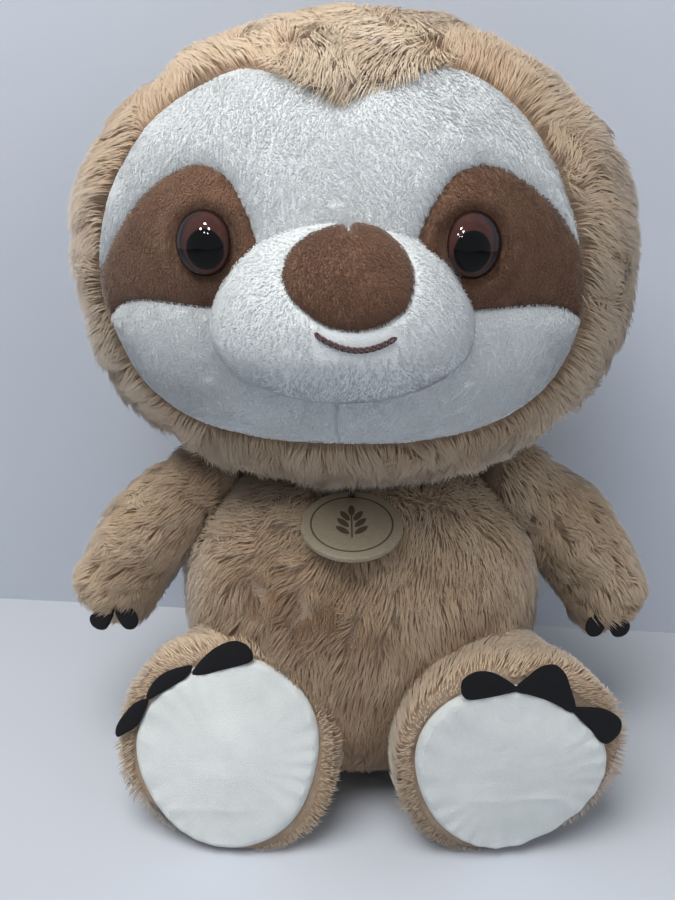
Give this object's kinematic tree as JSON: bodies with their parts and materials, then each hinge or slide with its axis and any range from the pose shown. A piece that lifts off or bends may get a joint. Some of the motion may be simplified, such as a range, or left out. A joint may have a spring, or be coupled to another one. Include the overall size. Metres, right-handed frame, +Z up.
{
  "type": "stuffed toy sloth",
  "caption": "Sitting plush sloth with a sewn face mask, safety eyes, felt claws, padded soles and a round hang tag; head, arms, legs and tag move on their seams.",
  "frame": {"origin": "on the floor, at the middle of the flat that the seat rests on", "axes": "+Z up through the head, -Y the way the toy looks, +X to its left, which is the viewer's right"},
  "size_m": [0.2773, 0.2001, 0.34],
  "materials": {
    "tan_plush": "matte",
    "white_plush": "matte",
    "brown_plush": "matte",
    "sole_velour": "matte",
    "fibre_fill": "matte",
    "black_felt": "matte",
    "eye_plastic": "gloss",
    "washer_plastic": "matte",
    "mouth_yarn": "matte",
    "tag_wood": "matte",
    "loop_cord": "matte"
  },
  "bodies": {
    "torso": {"body_shell": "tan_plush", "body_stuffing": "fibre_fill"},
    "neck": {"neck_stuffing": "fibre_fill"},
    "head": {"head_hood": "tan_plush", "forehead_panel": "white_plush", "cheek_panel_left": "white_plush", "cheek_panel_right": "white_plush", "eye_patch_left": "brown_plush", "eye_patch_right": "brown_plush", "muzzle_panel": "white_plush", "nose_patch": "brown_plush", "mouth_stitching": "mouth_yarn", "eye_left": "eye_plastic", "eye_right": "eye_plastic", "eye_washer_left": "washer_plastic", "eye_washer_right": "washer_plastic", "head_stuffing": "fibre_fill", "muzzle_stuffing": "fibre_fill"},
    "arm_left": {"arm_shell_left": "tan_plush", "arm_stuffing_left": "fibre_fill", "hand_claw_left_inner": "black_felt", "hand_claw_left_outer": "black_felt"},
    "arm_right": {"arm_shell_right": "tan_plush", "arm_stuffing_right": "fibre_fill", "hand_claw_right_inner": "black_felt", "hand_claw_right_outer": "black_felt"},
    "leg_left": {"leg_shell_left": "tan_plush", "leg_stuffing_left": "fibre_fill", "sole_left": "sole_velour", "foot_claw_left_inner": "black_felt", "foot_claw_left_middle": "black_felt", "foot_claw_left_outer": "black_felt"},
    "leg_right": {"leg_shell_right": "tan_plush", "leg_stuffing_right": "fibre_fill", "sole_right": "sole_velour", "foot_claw_right_inner": "black_felt", "foot_claw_right_middle": "black_felt", "foot_claw_right_outer": "black_felt"},
    "tag": {"hang_tag": "tag_wood", "tag_loop": "loop_cord"}
  },
  "joints": [
    {"name": "neck_turn", "type": "hinge", "parent": "torso", "child": "neck", "pos_m": [-0.006, 0, 0.154], "axis": [0, 0, 1], "range_deg": [-20, 20], "stiffness_Nm_per_rad": 0.3},
    {"name": "head_nod", "type": "hinge", "parent": "neck", "child": "head", "pos_m": [-0.006, 0, 0.154], "axis": [1, 0, 0], "range_deg": [-8, 5], "stiffness_Nm_per_rad": 1.5},
    {"name": "arm_left_lift", "type": "hinge", "parent": "torso", "child": "arm_left", "pos_m": [-0.074, 0, 0.139], "axis": [0, 1, 0], "range_deg": [0, 40], "stiffness_Nm_per_rad": 0.03},
    {"name": "arm_right_lift", "type": "hinge", "parent": "torso", "child": "arm_right", "pos_m": [0.074, 0, 0.139], "axis": [0, -1, 0], "range_deg": [0, 40], "stiffness_Nm_per_rad": 0.03},
    {"name": "leg_left_splay", "type": "hinge", "parent": "torso", "child": "leg_left", "pos_m": [-0.078, 0, 0.042], "axis": [0, 0, -1], "range_deg": [0, 15], "stiffness_Nm_per_rad": 0.1},
    {"name": "leg_right_splay", "type": "hinge", "parent": "torso", "child": "leg_right", "pos_m": [0.078, 0, 0.042], "axis": [0, 0, 1], "range_deg": [0, 15], "stiffness_Nm_per_rad": 0.1},
    {"name": "tag_swing", "type": "hinge", "parent": "torso", "child": "tag", "pos_m": [-0.006, -0.03602, 0.14842], "axis": [-1, 0, 0], "range_deg": [0, 30]}
  ]
}
